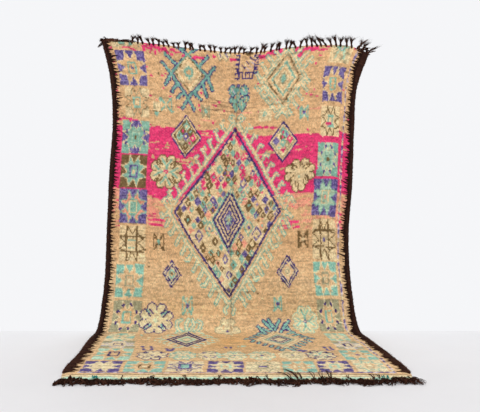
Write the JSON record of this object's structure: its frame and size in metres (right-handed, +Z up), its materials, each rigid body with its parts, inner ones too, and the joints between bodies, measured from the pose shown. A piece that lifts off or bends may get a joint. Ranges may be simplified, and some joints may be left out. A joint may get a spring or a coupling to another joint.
{
  "type": "moroccan pile rug",
  "caption": "Hand-knotted wool pile rug hung by its top edge, its lower end bent out flat over the floor, with dark selvedges, knotted tassels on top and a tangled front fringe.",
  "frame": {"origin": "on the floor, under the middle of the whole rug's box", "axes": "+Z up, along the hung part; +Y towards the wall that the rug hangs on; +X across the rug, to the right as seen from the front"},
  "size_m": [1.8718, 1.227, 1.9816],
  "materials": {
    "wool_pile": "cut wool pile in tan, hot pink, teal, indigo, cream and brown yarns, matt",
    "goat_hair": "dark brown goat hair, overcast, coarse and matt",
    "fringe_yarn": "dark brown to black twisted goat hair yarn, frizzy and matt"
  },
  "bodies": {
    "root": {"rug": "wool_pile", "selvedge_left": "goat_hair", "selvedge_right": "goat_hair", "fringe_top": "fringe_yarn", "fringe_front": "fringe_yarn"}
  },
  "joints": []
}
